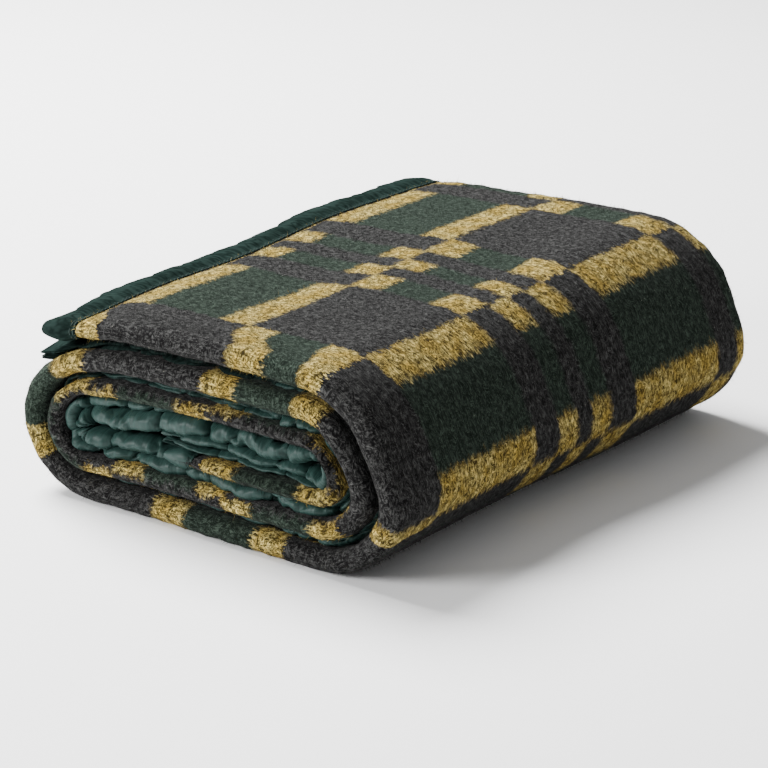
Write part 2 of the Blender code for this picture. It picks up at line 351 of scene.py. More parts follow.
def gridQuads(rows, columns, start=0):
    index = np.arange(rows * columns).reshape(rows, columns) + start
    corners = [index[:-1, :-1], index[1:, :-1], index[1:, 1:], index[:-1, 1:]]
    return np.stack(corners, axis=-1).reshape(-1, 4)


def makeMesh(name, points, faces, flat, plaidFlat=None):
    # flat holds each point's own (u, v) on the cut cloth in metres, and plaidFlat its place in the plaid
    mesh = bpy.data.meshes.new(name)
    sides = faces.shape[1]
    mesh.vertices.add(len(points))
    mesh.vertices.foreach_set("co", points.astype(np.float32).ravel())
    mesh.loops.add(faces.size)
    mesh.loops.foreach_set("vertex_index", faces.astype(np.int32).ravel())
    mesh.polygons.add(len(faces))
    mesh.polygons.foreach_set("loop_start", np.arange(0, faces.size, sides, dtype=np.int32))
    mesh.update(calc_edges=True)
    mesh.validate()
    for title, layer in [("flat", flat), ("plaid", plaidFlat)]:
        if layer is not None:
            corners = layer[faces.ravel()].astype(np.float32)
            mesh.uv_layers.new(name=title).data.foreach_set("uv", corners.ravel())
    mesh.shade_smooth()
    piece = bpy.data.objects.new(name, mesh)
    bpy.context.scene.collection.objects.link(piece)
    return piece


def closedSheet(name, upper, lower, flat, plaidFlat=None):
    # Two grids of the same size make a sheet's two faces, and a rim of quads closes it all round.
    rows, columns = upper.shape[:2]
    count = rows * columns
    index = np.arange(count).reshape(rows, columns)
    edge = np.concatenate([index[0, :-1], index[:-1, -1], index[-1, :0:-1], index[:0:-1, 0]])
    after = np.roll(edge, -1)
    rim = np.stack([edge, after, after + count, edge + count], axis=-1)
    faces = np.concatenate([gridQuads(rows, columns), gridQuads(rows, columns, count)[:, ::-1], rim])
    points = np.concatenate([upper.reshape(-1, 3), lower.reshape(-1, 3)])
    layers = [layer if layer is None else np.concatenate([layer.reshape(-1, 2)] * 2)
              for layer in (flat, plaidFlat)]
    piece = makeMesh(name, points, faces, *layers)
    faceOutwards(piece)
    piece.data.set_sharp_from_angle(angle=math.radians(60))
    return piece


def faceOutwards(piece):
    # A closed mesh whose signed volume is below zero is inside out, so its faces are turned.
    mesh = piece.data
    mesh.calc_loop_triangles()
    corners = np.empty(len(mesh.loop_triangles) * 3, np.int32)
    mesh.loop_triangles.foreach_get("vertices", corners)
    points = np.empty(len(mesh.vertices) * 3, np.float32)
    mesh.vertices.foreach_get("co", points)
    corner = points.reshape(-1, 3)[corners.reshape(-1, 3)].astype(float)
    volume = np.einsum("ij,ij->i", corner[:, 0], np.cross(corner[:, 1], corner[:, 2])).sum()
    if volume < 0:
        mesh.flip_normals()


def acrossStations(low, high):
    # Stations across the blanket: close round the folds and on the outer ply, and wide where hidden.
    nearby = np.linspace(foldMiddle - 0.030, foldMiddle + 0.030, 31)
    stations = np.concatenate([
        np.linspace(0.0, 0.030, 7), np.linspace(0.045, plyStarts[1], 8),
        np.linspace(plyStarts[1], plyStarts[2], 5),
        np.linspace(plyStarts[2] + 0.02, foldMiddle - 0.04, 7), nearby,
        np.linspace(foldMiddle + 0.035, plyStarts[5], 66), np.linspace(plyStarts[5], plyStarts[6], 9),
        np.linspace(plyStarts[6] + 0.02, cloth["width"] - 0.045, 8),
        np.linspace(cloth["width"] - 0.030, cloth["width"], 7)])
    return np.unique(np.clip(np.round(stations, 5), low, high))


# How the plaid lies on the rolled cloth: at each place along it, how far the pattern has crept along
# the blanket and how far the front fold has wandered across it, in mm.
lie = {
    "steps": [      # place along it in metres, creep, wander
        (0.0, 60, 38), (0.15, 43, 38), (0.30, 23, 40), (0.50, 17, 42), (0.62, 23, 44), (0.70, 41, 50),
        (0.90, 27, 54), (1.10, 16, 54), (1.19, 8, 52), (1.272, 9, 52), (1.282, 9, 0), (1.38, 10, 0),
        (1.44, 0, 0), (1.51, 0, 0), (1.56, -8, 0), (1.62, -8, 0)],
    "drag": [(1.38, 0), (1.40, 8), (1.417, 24), (1.475, 14), (1.575, 18), (1.62, 12)],    # at the flap's fold
    "dragOver": 25 * mm,
    "wanderTo": 45 * mm, "wanderOver": 30 * mm,      # past the fold the outer ply's columns are straight
}


def patternAt(u, v):     # the plaid's own coordinates at a flat point
    places, creeps, wanders = np.array(lie["steps"]).T
    dragPlaces, drags = np.array(lie["drag"]).T
    drag = np.interp(u, dragPlaces, drags * mm) * ease((foldMiddle - v) / lie["dragOver"] + 1.2)
    wander = np.interp(u, places, wanders * mm)
    wander = wander * ease((lie["wanderTo"] - v + foldMiddle) / lie["wanderOver"])
    return np.stack(np.broadcast_arrays(u + np.interp(u, places, creeps * mm) + drag, v + wander), axis=-1)


rowStep = {"woolRoll": 4.5 * mm, "woolFlap": 3.0 * mm, "nylon": 6.0 * mm}
margin = 15 * mm         # the cloths stop inside the tapes
freeEndShare = 1.3       # the free end's tape is drawn this much further over the wool
scallop = 1.6 * mm       # and its edge draws in between its gathers, which are about this far apart:
scallopOver = 40 * mm
scallopDepth = 20 * mm   # further in than this the tape isn't drawn in
press = {                # the tapes press the wool flatter
    "share": 0.62, "past": 11 * mm, "over": 13 * mm,
}
relief = [(0.30 * mm, 11 * mm, 21), (0.22 * mm, 6 * mm, 22)]      # the wool's bumps: height, size, seed


def edgeShare(u, v):     # 1 under the tapes at any bound edge or end, 0 further in
    fromEnds = np.minimum(u, (cloth["length"] - u) / freeEndShare)
    depth = np.minimum(np.minimum(v, cloth["width"] - v), fromEnds)
    return ease((cloth["tapeDepth"] + press["past"] - depth) / press["over"])


def woolHeight(u, v):    # the wool's upper face, over the sheet's middle
    bumps = sum(height * ripple(u, v, size, seed) for height, size, seed in relief)
    return (woolTop - clothMiddle + bumps) * (1 - press["share"] * edgeShare(u, v))


def woolSheet(name, start, end, step):
    rows = np.linspace(start, end, 1 + round((end - start) / step))
    v, u = np.meshgrid(acrossStations(margin, cloth["width"] - margin), rows)
    upper = place(u, v, clothMiddle + woolHeight(u, v))
    lower = place(u, v, cloth["slack"] + 0 * u)
    return closedSheet(name, upper, lower, np.stack([u, v], axis=-1), patternAt(u, v))


def nylonSheet(name, start, end):
    rows = np.linspace(start, end, 1 + round((end - start) / rowStep["nylon"]))
    v, u = np.meshgrid(acrossStations(margin, cloth["width"] - margin), rows)
    upper = place(u, v, -cloth["slack"] + 0 * u)
    lower = place(u, v, -cloth["slack"] - cloth["nylonThick"] + 0 * u)
    return closedSheet(name, upper, lower, np.stack([u, v], axis=-1))


innerMargin, outerMargin = margin, cloth["length"] - margin
woolRoll = woolSheet("wool_roll", innerMargin, hingeU, rowStep["woolRoll"])
woolFlap = woolSheet("wool_flap", hingeU, outerMargin, rowStep["woolFlap"])
nylonRoll = nylonSheet("nylon_roll", innerMargin, hingeU)
nylonFlap = nylonSheet("nylon_flap", hingeU, outerMargin)
print("wool and nylon: folded in four and rolled")

# bound edges: a nylon strip, gathered by cloth simulation and sewn along both long sides

gather = {
    "cell": 3.6 * mm,
    "puff": 5.5 * mm,         # the strip's radius at the edge before it is simulated
    "swollen": 9.5 * mm,      # and after
    "scale": 10.0,            # the simulation runs ten times life size
    "crowd": 1.5,             # the strip is simulated this much longer, then drawn up
    "grow": 0.28,             # how much longer the edge nylon is than the cloth it is sewn to
    "endGrow": 0.05,
    "rough": 0.5 * mm, "endRough": 0.25 * mm,      # how uneven the strips are before
    "seamAt": (28.0 * mm, 24.5 * mm), "seamHalf": 2.0 * mm,      # sewn down here, at half this thickness
    "sideFrom": 21.0 * mm, "sideHalf": 2.2 * mm, "sideOver": 16 * mm,
    "sewnHeight": 1.42 * mm,     # how high the tape lies over the cloth's middle where it is sewn
    "endPuff": 1.9 * mm,         # the end tapes lie nearly flat
    "wall": 0.25 * mm,
    "pressure": 8.0,
    "frames": 20,
}


def stripSection():
    # Depth in from the edge and height over the cloth's middle: flat by the seam, then round the edge.
    puff, half, sideFrom = gather["puff"], gather["seamHalf"], gather["sideFrom"]
    seam = np.array(gather["seamAt"])
    side = np.linspace(sideFrom, puff, 5)
    turn = np.linspace(0, math.pi, 7)[1:-1]
    height = gather["sideHalf"] + (puff - gather["sideHalf"]) * ease((sideFrom - side) / gather["sideOver"])
    depth = np.concatenate([seam, side, puff - puff * np.sin(turn), side[::-1], seam[::-1]])
    up = np.concatenate([[half, half], height, puff * np.cos(turn), -height[::-1], [-half, -half]])
    return depth, up


nylonCloth = {               # how the simulated nylon behaves
    "quality": 4, "mass": 0.15, "tension_stiffness": 15, "compression_stiffness": 15, "shear_stiffness": 4,
    "bending_stiffness": 0.05, "air_damping": 2, "use_pressure": True,
}


def gatheredStrip(name, length, seed, grow, rough):
    # The section is carried along the strip, roughened at random, and grown and blown up by simulation
    # while both sewn edges stay put. The result is drawn up to the length of the edge it binds.
    depth, up = stripSection()
    drawn = length * gather["crowd"]
    rows = 1 + round(drawn / gather["cell"])
    s = np.linspace(0.0, drawn, rows)
    random = np.random.default_rng(seed)
    shape = np.zeros((rows, len(depth), 3))
    shape[..., 0] = s[:, None]
    wander = rough * random.standard_normal((rows, len(depth)))
    wander[:, :2] = wander[:, -2:] = 0.0
    shape[..., 1] = depth + wander
    shape[..., 2] = up + np.roll(wander, 3, axis=0) * (np.abs(up) > 2.1 * mm)
    faces = gridQuads(rows, len(depth))[:, ::-1]
    piece = makeMesh(name, shape.reshape(-1, 3) * gather["scale"], faces, shape[..., :2].reshape(-1, 2))
    sewn = np.zeros((rows, len(depth)), bool)
    sewn[:, :2] = sewn[:, -2:] = True
    sewn[0] = sewn[-1] = True
    group = piece.vertex_groups.new(name="sewn")
    group.add(np.flatnonzero(sewn.ravel()).tolist(), 1.0, "REPLACE")
    cover = piece.modifiers.new("gather", "CLOTH")
    for key, value in nylonCloth.items():
        setattr(cover.settings, key, value)
    cover.settings.shrink_min = -grow
    cover.settings.uniform_pressure_force = gather["pressure"]
    cover.settings.effector_weights.gravity = 0.0
    cover.settings.vertex_group_mass = "sewn"
    cover.collision_settings.use_collision = False
    cover.point_cache.frame_end = gather["frames"]
    for number in range(1, gather["frames"] + 1):
        bpy.context.scene.frame_set(number)
    done = piece.evaluated_get(bpy.context.evaluated_depsgraph_get()).to_mesh()
    points = np.empty(len(done.vertices) * 3, np.float32)
    done.vertices.foreach_get("co", points)
    bpy.data.objects.remove(piece)
    bpy.context.scene.frame_set(1)
    shape = points.reshape(rows, len(depth), 3) / gather["scale"]
    return np.clip(shape, (0.0, -np.inf, -np.inf), (drawn, np.inf, np.inf)) / (gather["crowd"], 1, 1)


def noseShare(depth):    # 1 at the bound edge and 0 at the seam
    return ease(1.15 - 1.15 * depth / cloth["tapeDepth"])


def tapeHeight(depth, up, puff):
    # The strip's own height: as sewn near the seam, and scaled to the puff wanted at the edge.
    nose = noseShare(depth)
    return up * (seamShare * (1 - nose) + nose * puff / gather["swollen"])


pinch = {
    "count": 90, "apart": (24 * mm, 46 * mm), "over": 2.2 * mm, "slant": 0.8,
    "flatten": 0.42, "drawIn": 3.0 * mm,
    "endShare": 0.25,         # how much of this the end tapes get
}


def pinched(s, up, seed):
    # 1 along each sharp crease of the gathered edge and 0 between: exp(-distance to the nearest crease)
    random = np.random.default_rng(seed)
    places = np.cumsum(random.uniform(*pinch["apart"], pinch["count"]))
    slants = random.uniform(-pinch["slant"], pinch["slant"], pinch["count"])
    far = np.abs(s[..., None] - places - slants * up[..., None]).min(axis=-1)
    return np.exp(-far / pinch["over"])


def tapePiece(name, shape, toFlat, low, high, puffOf, seed, share=1.0):
    # The strip's own length, depth and height become the blanket's u, v and w.
    s, depth, up = shape[..., 0], shape[..., 1], shape[..., 2]
    keep = (s[:, 0] >= low - 1e-6) & (s[:, 0] <= high + 1e-6)
    s, depth, up = s[keep], depth[keep], up[keep]
    crease = share * pinched(s, up, seed) * noseShare(depth)
    height = tapeHeight(depth, up, puffOf(s)) * (1 - pinch["flatten"] * crease)
    u, v = toFlat(s, depth + pinch["drawIn"] * crease)
    piece = makeMesh(name, place(u, v, clothMiddle + height).reshape(-1, 3), gridQuads(*s.shape),
                     np.stack([s, depth], axis=-1).reshape(-1, 2))
    wall = piece.modifiers.new("wall", "SOLIDIFY")
    wall.thickness = gather["wall"]
    wall.offset = 0.0
    finer = piece.modifiers.new("finer", "SUBSURF")
    finer.levels = finer.render_levels = 1
    return piece


stitches = {
    "length": 3.0 * mm, "gap": 0.7 * mm, "radius": 0.32 * mm,
    "depths": (26.8, 24.6),      # mm in from the edge, two rows
    "sink": 0.05 * mm,
    "proud": 0.13 * mm,          # over the middle of the tape's wall
    "fromEnd": 3 * mm,
}


def stitchRows(name, toFlat, low, high, puffOf):
    # Both rows on both faces: each stitch is a low hump of five-sided rings that dives at both ends.
    pitch = stitches["length"] + stitches["gap"]
    starts = np.arange(low + stitches["fromEnd"], high - stitches["fromEnd"], pitch)
    t = np.array([0.0, 0.12, 0.5, 0.88, 1.0])
    ring = np.arange(5) * 2 * math.pi / 5
    thick = stitches["radius"] * np.array([0.25, 0.95, 1.0, 0.95, 0.25])
    lift = stitches["radius"] * np.array([-1.2, 0.2, 0.7, 0.2, -1.2]) - stitches["sink"]
    rows = [(depth * mm, side) for depth in stitches["depths"] for side in (1, -1)]
    depth = np.array([row[0] for row in rows])[:, None, None, None]
    side = np.array([row[1] for row in rows])[:, None, None, None]
    s = starts[None, :, None, None] + stitches["length"] * t[None, None, :, None] + 0 * ring
    across = depth + thick[None, None, :, None] * np.cos(ring)[None, None, None, :]
    s, across, side = np.broadcast_arrays(s, across, side)
    height = tapeHeight(depth + 0 * s, side * gather["seamHalf"], puffOf(s))
    height = height + side * (stitches["proud"] + lift[:, None]) + thick[:, None] * np.sin(ring)
    u, v = toFlat(s, across)
    points = place(u, v, clothMiddle + height).reshape(-1, 3)
    count = len(rows) * len(starts)
    k, j = np.meshgrid(np.arange(4), np.arange(5), indexing="ij")
    wrap = (j + 1) % 5
    tube = np.stack([k * 5 + j, k * 5 + 5 + j, k * 5 + 5 + wrap, k * 5 + wrap], axis=-1).reshape(-1, 4)
    fans = [[0, 1, 2], [0, 2, 3], [0, 3, 4], [20, 22, 21], [20, 23, 22], [20, 24, 23]]
    triangles = np.concatenate([tube[:, [0, 1, 2]], tube[:, [0, 2, 3]], np.array(fans)])
    faces = (triangles[None] + 25 * np.arange(count)[:, None, None]).reshape(-1, 3)
    piece = makeMesh(name, points, faces, np.stack([s, across], axis=-1).reshape(-1, 2))
    faceOutwards(piece)
    return piece


seamShare = gather["sewnHeight"] / gather["seamHalf"]
length, width = cloth["length"], cloth["width"]
tapes, threads = {}, {}
for number, (letter, fromEdge) in enumerate([("a", 0.0), ("b", 1.0)]):
    strip = gatheredStrip("edge_strip", length, 31 + number, gather["grow"], gather["rough"])
    toFlat = (lambda s, depth, side=fromEdge: (s, depth + side * (width - 2 * depth)))
    puffOf = (lambda s, column="puff" + letter.upper(): along(column, s))
    middle = strip[:, 0, 0]
    split = middle[np.searchsorted(middle, hingeU)]
    for ending, low, high in [("", 0.0, split), ("_flap", split, length)]:
        key = letter + ending
        tapes[key] = tapePiece("bound_edge_" + key, strip, toFlat, low, high, puffOf, 71 + number)
        threads[key] = stitchRows("stitching_" + key, toFlat, low, high, puffOf)
print("edge tapes: gathered and sewn")


def endPuff(s):
    return gather["endPuff"] + 0 * s


def innerFlat(s, depth):
    return depth, s


def outerFlat(s, depth):
    drawnIn = scallop * (1 + ripple(s, 0 * s, scallopOver, 61)) * ease(1 - depth / scallopDepth)
    return length - freeEndShare * depth - drawnIn, s


for name, seed, toFlat in [("inner", 41, innerFlat), ("outer", 42, outerFlat)]:
    strip = gatheredStrip(name + "_strip", width, seed, gather["endGrow"], gather["endRough"])
    tapes[name] = tapePiece(
        "bound_end_" + name, strip, toFlat, 0.0, width, endPuff, seed + 30, pinch["endShare"])
    threads[name] = stitchRows("stitching_" + name, toFlat, 0.0, width, endPuff)
print("end tapes: gathered and sewn")

# loose wool fibres

fuzz = {
    "outer": 21000, "front": 14000, "back": 9000, "flapOuter": 16000, "flapFront": 3500, "flapBack": 1750,
    "reach": (0.6 * mm, 3.0 * mm), "rise": (0.1 * mm, 3.0 * mm), "radius": 0.11 * mm,
    "longShare": 0.03, "longTimes": 2.2,      # a few stand much higher
    "rooted": 0.25 * mm, "overFloor": 0.2 * mm,
    "fromFold": 8 * mm, "frontHalf": 19 * mm, "fromEnd": 30 * mm,
}


def fibres(name, patches, seed):
    # Each fibre is a spike of four triangles, rooted in the wool's face and leaning any way. Each patch
    # is a count and its ranges along the blanket and across it.
    random = np.random.default_rng(seed)
    u = np.concatenate([random.uniform(*patch[1], patch[0]) for patch in patches])
    v = np.concatenate([random.uniform(*patch[2], patch[0]) for patch in patches])
    turn = random.uniform(0, 2 * math.pi, len(u))
    reach = random.uniform(*fuzz["reach"], len(u))
    rise = random.uniform(0, 1, len(u)) ** 2 * (fuzz["rise"][1] - fuzz["rise"][0]) + fuzz["rise"][0]
    rise = np.where(random.uniform(0, 1, len(u)) < fuzz["longShare"], rise * fuzz["longTimes"], rise)
    base = clothMiddle + woolHeight(u, v)
    ring = turn[:, None] + np.arange(3) * 2 * math.pi / 3
    root = place(u[:, None] + fuzz["radius"] * np.cos(ring), v[:, None] + fuzz["radius"] * np.sin(ring),
                 base[:, None] - fuzz["rooted"])
    tip = place(u + reach * np.cos(turn), v + reach * np.sin(turn), base + rise)
    clear = tip[:, 2] > fuzz["overFloor"]
    u, v, root, tip = u[clear], v[clear], root[clear], tip[clear]
    points = np.concatenate([root, tip[:, None]], axis=1).reshape(-1, 3)
    spike = np.array([[0, 2, 1], [0, 1, 3], [1, 2, 3], [2, 0, 3]])
    faces = (spike[None] + 4 * np.arange(len(u))[:, None, None]).reshape(-1, 3)
    layers = [np.repeat(layer, 4, axis=0) for layer in (np.stack([u, v], axis=-1), patternAt(u, v))]
    piece = makeMesh(name, points, faces, *layers)
    faceOutwards(piece)
    return piece


outerPly, farBand = (foldMiddle + fuzz["fromFold"], plyStarts[5]), (plyStarts[5], plyStarts[6])
frontBand = (foldMiddle - fuzz["frontHalf"], foldMiddle + fuzz["frontHalf"])
outside, whole, flap = (bendStarts[3], hingeU), (innerMargin, hingeU), (hingeU, length - fuzz["fromEnd"])
fuzzRoll = fibres("loose_fibres", [
    (fuzz["outer"], outside, outerPly), (fuzz["front"], whole, frontBand),
    (fuzz["back"], whole, farBand)], 51)
fuzzFlap = fibres("loose_fibres_flap", [
    (fuzz["flapOuter"], flap, outerPly), (fuzz["flapFront"], flap, frontBand),
    (fuzz["flapBack"], flap, farBand)], 52)
print("loose fibres: spikes on the outer ply and both ends")

# materials

plaid = {
    "fromEnd": 45 * mm,       # free end to the first mustard bar
    "rowA": 96 * mm, "rowB": 89.5 * mm, "bar": 23 * mm,
    "fromFold": 40 * mm,      # front fold to the first wide column
    "columns": [(0.0, 96.0), (122.0, 140.0), (156.0, 174.0)],    # mm, of a repeat of 200 mm
    "repeat": 200 * mm,
    "soft": 2.6 * mm, "frayAlong": 13 * mm, "frayAcross": 6 * mm, "wave": 9 * mm,
    "grainMiddle": 1.47, "grainSpread": 0.19,
    "charcoalDark": (0.0045, 0.0044, 0.0045, 1), "charcoalLight": (0.063, 0.063, 0.061, 1),
    "greenDark": (0.0060, 0.0090, 0.0068, 1), "greenLight": (0.045, 0.062, 0.048, 1),
    "mustardDark": (0.024, 0.018, 0.006, 1), "mustardLight": (0.72, 0.565, 0.185, 1),
    "mustardWarm": (0.52, 0.36, 0.078, 1),
    "lint": (0.24, 0.23, 0.19, 1),
}
grain = {                    # the wool's noises, in bumps per metre
    "streaks": (210, 1100, 1), "fibres": (480, 2100, 1), "coarse": 170.0, "fine": 800.0, "felt": 1500.0,
    "patches": 260.0, "warmth": 75.0, "lint": 520.0,
    "drift": 130.0, "driftBy": (0.012, 0.012, 0.0),      # the fibres' grain wanders this far, in metres
    "fibreTurns": (0.5, -0.6),
    "feltShare": 1.4, "patchShare": 0.7, "streakShare": 0.5,      # in how light a spot is
    "lintFrom": 0.775,        # only the noise's highest peaks are lint
}


def link(tree, socket, value):
    if isinstance(value, bpy.types.NodeSocket):
        tree.links.new(value, socket)
    elif value is not None:
        socket.default_value = value


def math2(tree, operation, a, b=None):
    node = tree.nodes.new("ShaderNodeMath")
    node.operation = operation
    link(tree, node.inputs[0], a)
    link(tree, node.inputs[1], b)
    return node.outputs[0]


def softStep(tree, value, edge, soft):     # 0 below the edge and 1 above it
    node = tree.nodes.new("ShaderNodeMapRange")
    node.interpolation_type = "SMOOTHSTEP"
    link(tree, node.inputs["Value"], value)
    node.inputs["From Min"].default_value = edge - soft
    node.inputs["From Max"].default_value = edge + soft
    return node.outputs["Result"]


def band(tree, value, low, high, soft):
    return math2(tree, "SUBTRACT", softStep(tree, value, low, soft), softStep(tree, value, high, soft))


def noise(tree, vector, scale, detail=3.0, roughness=0.6):
    node = tree.nodes.new("ShaderNodeTexNoise")
    link(tree, node.inputs["Vector"], vector)
    node.inputs["Scale"].default_value = scale
    node.inputs["Detail"].default_value = detail
    node.inputs["Roughness"].default_value = roughness
    return node.outputs["Fac"]


def stretched(tree, vector, turn, scale):
    node = tree.nodes.new("ShaderNodeMapping")
    link(tree, node.inputs["Vector"], vector)
    node.inputs["Rotation"].default_value = (0.0, 0.0, turn)
    node.inputs["Scale"].default_value = scale
    return node.outputs["Vector"]


def mix(tree, share, a, b):
    node = tree.nodes.new("ShaderNodeMix")
    node.data_type = "RGBA"
    link(tree, node.inputs["Factor"], share)
    link(tree, node.inputs[6], a)
    link(tree, node.inputs[7], b)
    return node.outputs[2]


def newGroup(name, inputs, outputs):
    group = bpy.data.node_groups.new(name, "ShaderNodeTree")
    for title, kind in inputs:
        group.interface.new_socket(name=title, in_out="INPUT", socket_type=kind)
    for title, kind in outputs:
        group.interface.new_socket(name=title, in_out="OUTPUT", socket_type=kind)
    return group, group.nodes.new("NodeGroupInput"), group.nodes.new("NodeGroupOutput")


def blockPlaid():
    # From the flat cloth's own metres: which block a fibre belongs to, with each boundary frayed.
    tree, source, result = newGroup(
        "block plaid", [("Flat", "NodeSocketVector"), ("Plaid", "NodeSocketVector")],
        [("Colour", "NodeSocketColor"), ("Height", "NodeSocketFloat")])
    flat = source.outputs["Flat"]
    # the nap runs along the blanket, so the weft bars end in streaks
    streak = noise(tree, stretched(tree, flat, 0.0, grain["streaks"]), 1.0, 2.0, 0.6)
    coarse = noise(tree, flat, grain["coarse"], 3.0)
    fine = noise(tree, flat, grain["fine"], 2.0)
    frayU = math2(tree, "MULTIPLY", math2(tree, "SUBTRACT", streak, 0.5), plaid["frayAlong"])
    frayV = math2(tree, "MULTIPLY", math2(tree, "SUBTRACT", fine, 0.5), plaid["frayAcross"])
    wave = math2(tree, "MULTIPLY", math2(tree, "SUBTRACT", coarse, 0.5), plaid["wave"])
    axes = tree.nodes.new("ShaderNodeSeparateXYZ")
    link(tree, axes.inputs[0], source.outputs["Plaid"])
    u = math2(tree, "ADD", axes.outputs["X"], math2(tree, "ADD", frayU, wave))
    v = math2(tree, "ADD", axes.outputs["Y"], math2(tree, "ADD", frayV, wave))
    period = plaid["rowA"] + plaid["rowB"]
    s = math2(tree, "SUBTRACT", cloth["length"] - plaid["fromEnd"] + 20 * period, u)
    s = math2(tree, "FLOORED_MODULO", s, period)
    q = math2(tree, "ABSOLUTE", math2(tree, "SUBTRACT", v, foldMiddle))
    fold = math2(tree, "SUBTRACT", q, plaid["fromFold"])
    p = math2(tree, "FLOORED_MODULO", fold, plaid["repeat"])
    soft, bar, rowA = plaid["soft"], plaid["bar"], plaid["rowA"]
    columns = 0.0
    for low, high in plaid["columns"]:
        columns = math2(tree, "ADD", columns, band(tree, p, low * mm, high * mm, soft))
    columns = math2(tree, "MULTIPLY", columns, softStep(tree, fold, 0.0, soft))
    others = math2(tree, "SUBTRACT", 1.0, columns)
    masks = []
    # in each row of blocks, a bar at either side and the wide block between them
    for low, high in [(0.0, bar), (rowA - bar, rowA), (bar, rowA - bar)]:
        masks.append(math2(tree, "MULTIPLY", columns, band(tree, s, low, high, soft)))
    for low, high in [(rowA, rowA + bar), (period - bar, period), (rowA + bar, period - bar)]:
        masks.append(math2(tree, "MULTIPLY", others, band(tree, s, low, high, soft)))
    bars, otherBars = math2(tree, "ADD", masks[0], masks[1]), math2(tree, "ADD", masks[3], masks[4])
    mustard = math2(tree, "ADD", bars, otherBars)
    green = math2(tree, "ADD", masks[2], masks[5])
    # fibres lie every way: stretched noises crossed on a wandering grain, over the nap and a finer felt
    drift = tree.nodes.new("ShaderNodeTexNoise")
    drift.inputs["Scale"].default_value = grain["drift"]
    drift.inputs["Detail"].default_value = 1.0
    link(tree, drift.inputs["Vector"], flat)
    moved = tree.nodes.new("ShaderNodeVectorMath")
    moved.operation = "MULTIPLY_ADD"
    link(tree, moved.inputs[0], drift.outputs["Color"])
    moved.inputs[1].default_value = grain["driftBy"]
    link(tree, moved.inputs[2], flat)
    felt = noise(tree, moved.outputs[0], grain["felt"], 3.0, 0.75)
    for turn in grain["fibreTurns"]:
        fibre = noise(tree, stretched(tree, moved.outputs[0], turn, grain["fibres"]), 1.0, 2.0, 0.6)
        felt = math2(tree, "MAXIMUM", felt, fibre)
    patchy = noise(tree, flat, grain["patches"], 4.0, 0.8)
    light = math2(tree, "MULTIPLY", felt, grain["feltShare"])
    light = math2(tree, "ADD", light, math2(tree, "MULTIPLY", patchy, grain["patchShare"]))
    light = math2(tree, "ADD", light, math2(tree, "MULTIPLY", streak, grain["streakShare"]))
    light = softStep(tree, light, plaid["grainMiddle"], plaid["grainSpread"])
    colour = mix(tree, light, plaid["charcoalDark"], plaid["charcoalLight"])
    colour = mix(tree, green, colour, mix(tree, light, plaid["greenDark"], plaid["greenLight"]))
    warmth = softStep(tree, noise(tree, flat, grain["warmth"], 2.0), 0.5, 0.14)
    gold = mix(tree, warmth, plaid["mustardWarm"], plaid["mustardLight"])
    colour = mix(tree, mustard, colour, mix(tree, light, plaid["mustardDark"], gold))
    speck = softStep(tree, noise(tree, flat, grain["lint"], 2.0, 0.4), grain["lintFrom"], 0.02)
    colour = mix(tree, math2(tree, "MULTIPLY", speck, 0.5), colour, plaid["lint"])
    link(tree, result.inputs["Colour"], colour)
    link(tree, result.inputs["Height"], math2(tree, "ADD", felt, math2(tree, "MULTIPLY", patchy, 0.8)))
    return tree


def clothWeave():
    # A plain weave: two crossed ripples on the cloth's own metres.
    tree, source, result = newGroup(
        "plain weave", [("Flat", "NodeSocketVector"), ("Threads", "NodeSocketFloat")],
        [("Height", "NodeSocketFloat")])
    axes = tree.nodes.new("ShaderNodeSeparateXYZ")
    link(tree, axes.inputs[0], source.outputs["Flat"])
    waves = []
    for axis in ("X", "Y"):
        turns = math2(tree, "MULTIPLY", axes.outputs[axis], source.outputs["Threads"])
        waves.append(math2(tree, "SINE", turns))
    link(tree, result.inputs["Height"], math2(tree, "MULTIPLY", waves[0], waves[1]))
    return tree


def newMaterial(name, roughness, constants):
    material = bpy.data.materials.new(name)
    material.use_nodes = True
    tree = material.node_tree
    shader = tree.nodes["Principled BSDF"]
    shader.inputs["Roughness"].default_value = roughness
    for title, value in constants.items():
        shader.inputs[title].default_value = value
    flat = tree.nodes.new("ShaderNodeUVMap")
    flat.uv_map = "flat"
    return material, tree, shader, flat.outputs["UV"]


def groupNode(tree, group, values):
    node = tree.nodes.new("ShaderNodeGroup")
    node.node_tree = group
    for title, value in values.items():
        link(tree, node.inputs[title], value)
    return node


def bump(tree, shader, height, strength, distance):
    node = tree.nodes.new("ShaderNodeBump")
    node.inputs["Strength"].default_value = strength
    node.inputs["Distance"].default_value = distance
    link(tree, node.inputs["Height"], height)
    link(tree, shader.inputs["Normal"], node.outputs["Normal"])


def woolMaterial(name, group):
    material, tree, shader, flat = newMaterial(
        name, 0.95, {"Sheen Weight": 0.02, "Sheen Roughness": 0.5, "Specular IOR Level": 0.0})
    lying = tree.nodes.new("ShaderNodeUVMap")
    lying.uv_map = "plaid"
    cover = groupNode(tree, group, {"Flat": flat, "Plaid": lying.outputs["UV"]})
    link(tree, shader.inputs["Base Color"], cover.outputs["Colour"])
    bump(tree, shader, cover.outputs["Height"], 0.7, 0.6 * mm)
    return material


nylonLook = {
    "patches": 60.0, "creases": (170, 50, 1), "threads": 9000.0,      # per metre
    "roughness": 0.36, "roughMore": 0.16,      # from patch to patch
    "weaveShare": 0.012, "bump": 0.9, "bumpDepth": 1.6 * mm,
}
nylonDyes = {                # open face, painted shade down in its creases, and how much it shines
    # one nylon in two tones, as painted light and shade: the first lighter for the core and lining, the
    # second darker for the tapes on top in the key light
    "greenNylon": ((0.020, 0.047, 0.041, 1), (0.010, 0.026, 0.022, 1), 0.16),
    "mattNylonPaintedShade": ((0.0165, 0.029, 0.0255, 1), (0.0038, 0.0072, 0.0062, 1), 0.0),
}
threadDye = ((0.040, 0.058, 0.052, 1), (0.004, 0.010, 0.009, 1))      # on its strands, and between them as painted shade
